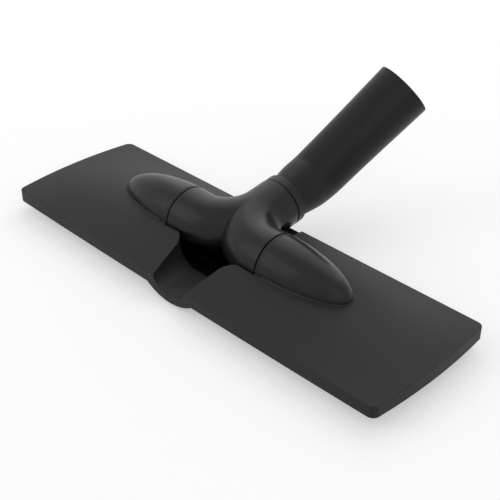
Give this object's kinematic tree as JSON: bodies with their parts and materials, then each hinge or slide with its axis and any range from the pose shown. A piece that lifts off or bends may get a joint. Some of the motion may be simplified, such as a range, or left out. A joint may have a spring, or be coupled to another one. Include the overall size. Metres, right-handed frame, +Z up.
{
  "type": "vacuum cleaner floor brush",
  "caption": "Wide low hard floor brush head with a tilting two-armed yoke and a swivelling angled elbow that takes the suction tube.",
  "frame": {"origin": "on the floor, in the middle of the head's length, straight below the tilt axis", "axes": "+X along the head, +Y back towards the suction tube, +Z up"},
  "size_m": [0.3046, 0.195, 0.0993],
  "materials": {
    "cover": "finely textured charcoal moulding",
    "yoke": "satin charcoal moulding",
    "tube": "satin charcoal moulding",
    "sole": "smooth black moulding",
    "bristle": "soft black bristles",
    "felt": "black felt",
    "bearing": "natural bearing plastic",
    "tread": "black rubber",
    "steel": "zinc-plated steel"
  },
  "bodies": {
    "head": {"top_cover": "cover", "sole_plate_left": "sole", "sole_plate_right": "sole", "front_left_holder": "sole", "front_left_bristles": "bristle", "front_right_holder": "sole", "front_right_bristles": "bristle", "rear_holder": "sole", "rear_bristles": "bristle", "hub_bush_left": "bearing", "hub_bush_right": "bearing", "hub_felt_left": "felt", "hub_felt_right": "felt", "wheel_axle_left": "steel", "wheel_axle_right": "steel", "sole_screws": "steel"},
    "wheel_left_body": {"wheel_left": "tread"},
    "wheel_right_body": {"wheel_right": "tread"},
    "yoke": {"yoke_upper": "yoke", "yoke_lower": "sole", "pivot_sleeve_left": "bearing", "pivot_sleeve_right": "bearing", "swivel_bush": "bearing", "swivel_seal": "tread"},
    "elbow": {"elbow_tube": "tube", "swivel_ring": "yoke", "retaining_clip": "steel"}
  },
  "joints": [
    {"name": "yoke_tilt", "type": "hinge", "parent": "head", "child": "yoke", "pos_m": [0, 0, 0.02325], "axis": [1, 0, 0], "range_deg": [0, 80]},
    {"name": "elbow_swivel", "type": "hinge", "parent": "yoke", "child": "elbow", "pos_m": [0, 0.04088, 0.03038], "axis": [0, 0.9851, 0.1719], "range_deg": [-118.4, 61.6]},
    {"name": "wheel_left_spin", "type": "hinge", "parent": "head", "child": "wheel_left_body", "pos_m": [-0.116, 0.02, 0.0071], "axis": [1, 0, 0], "continuous": true},
    {"name": "wheel_right_spin", "type": "hinge", "parent": "head", "child": "wheel_right_body", "pos_m": [0.116, 0.02, 0.0071], "axis": [1, 0, 0], "continuous": true}
  ]
}
